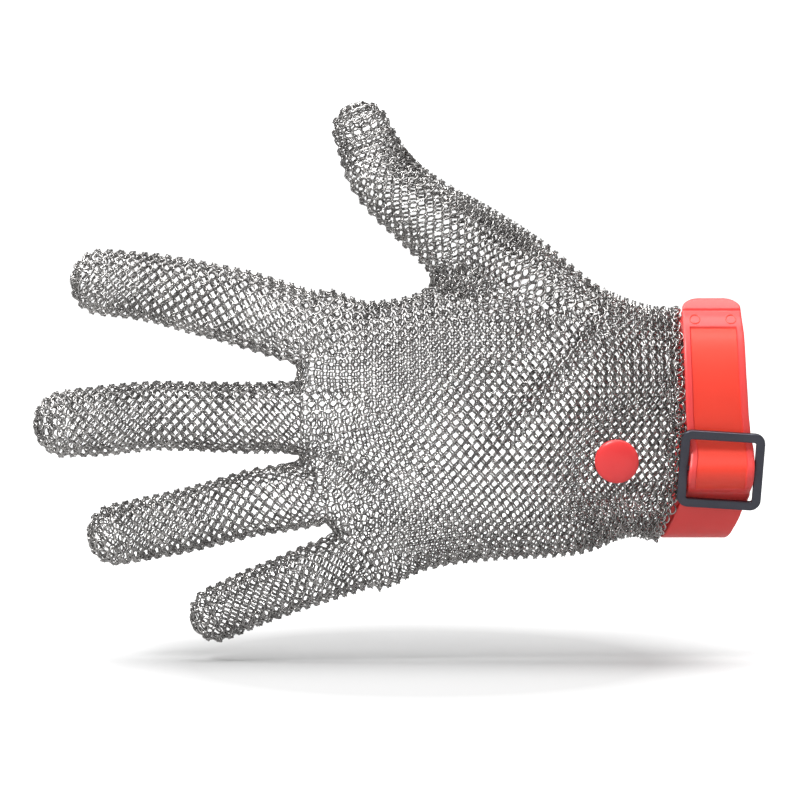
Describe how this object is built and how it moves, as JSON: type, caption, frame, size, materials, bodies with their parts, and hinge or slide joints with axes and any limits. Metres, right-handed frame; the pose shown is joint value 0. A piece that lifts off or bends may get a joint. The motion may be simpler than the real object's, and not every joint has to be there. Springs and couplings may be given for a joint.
{
  "type": "chainmail glove",
  "caption": "Left-hand cut-protection glove of linked steel rings, hollow to the fingertips, with a moulded wrist strap, slide buckle and stud.",
  "frame": {"origin": "middle of the wrist opening, at the hem of the mail", "axes": "+Z to the thumb side, -X to the fingertips, -Y out of the back of the hand"},
  "size_m": [0.2414, 0.0532, 0.1792],
  "materials": {
    "mail": "satin, fine linked rings",
    "strap": "satin moulded soft plastic",
    "buckle": "dark satin",
    "stud": "smooth"
  },
  "bodies": {
    "root": {"hand_mail": "mail", "index_stall": "mail", "middle_stall": "mail", "ring_stall": "mail", "little_stall": "mail", "thumb_stall": "mail", "strap": "strap", "buckle": "buckle", "stud": "stud"}
  },
  "joints": []
}
